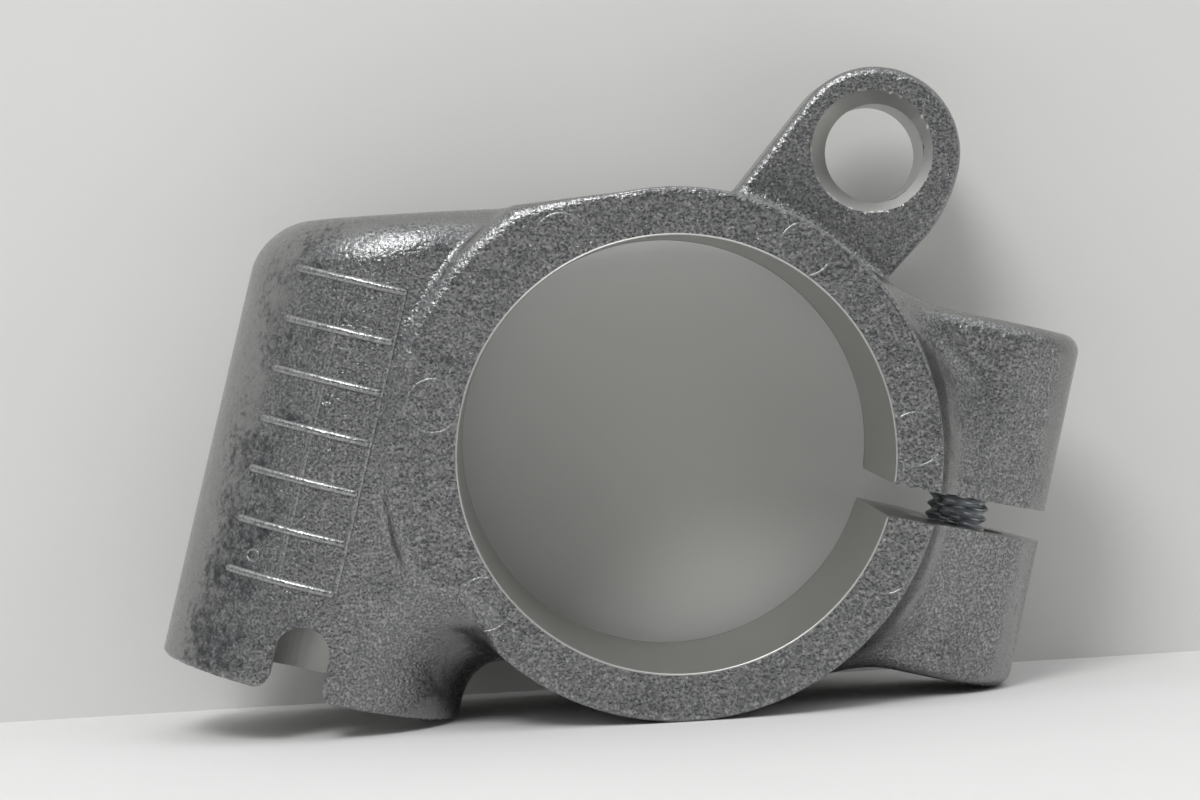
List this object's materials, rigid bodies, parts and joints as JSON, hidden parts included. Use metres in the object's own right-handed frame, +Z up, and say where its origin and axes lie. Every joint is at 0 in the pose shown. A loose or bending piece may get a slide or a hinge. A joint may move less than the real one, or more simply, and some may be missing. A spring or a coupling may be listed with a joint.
{
  "type": "split handlebar clamp",
  "caption": "Split clamp ring for a fork tube, cast in one with a leaning handlebar socket and a holed lug, closed by a socket-head pinch screw.",
  "frame": {"origin": "centre of the underside of the whole part's box, on the surface that it stands on", "axes": "+Y along the fork bore's axis, from the front face to the back face; +X across, from the handlebar socket to the slit; +Z up"},
  "size_m": [0.0904, 0.031, 0.061],
  "materials": {
    "cast_aluminium": "die-cast and shot-blasted, grainy and matt",
    "zinc_plated_steel": "zinc-plated, satin",
    "stainless_steel": "bright, as wound"
  },
  "bodies": {
    "clamp": {"clamp_casting": "cast_aluminium", "thread_insert": "stainless_steel"},
    "washer": {"pinch_washer": "zinc_plated_steel"},
    "screw": {"pinch_screw": "zinc_plated_steel"}
  },
  "joints": [
    {"name": "pinch_screw_travel", "type": "slide", "parent": "clamp", "child": "washer", "axis": [0.2622, 0, 0.965], "range_m": [0, 0.012]},
    {"name": "pinch_screw_turn", "type": "hinge", "parent": "washer", "child": "screw", "pos_m": [0.03273, 0, 0.01748], "axis": [0.2622, 0, 0.965], "range_deg": [0, 4320]}
  ],
  "couplings": [
    {"joint": "pinch_screw_turn", "follows": "pinch_screw_travel", "rad_per_m": 6283.2}
  ]
}
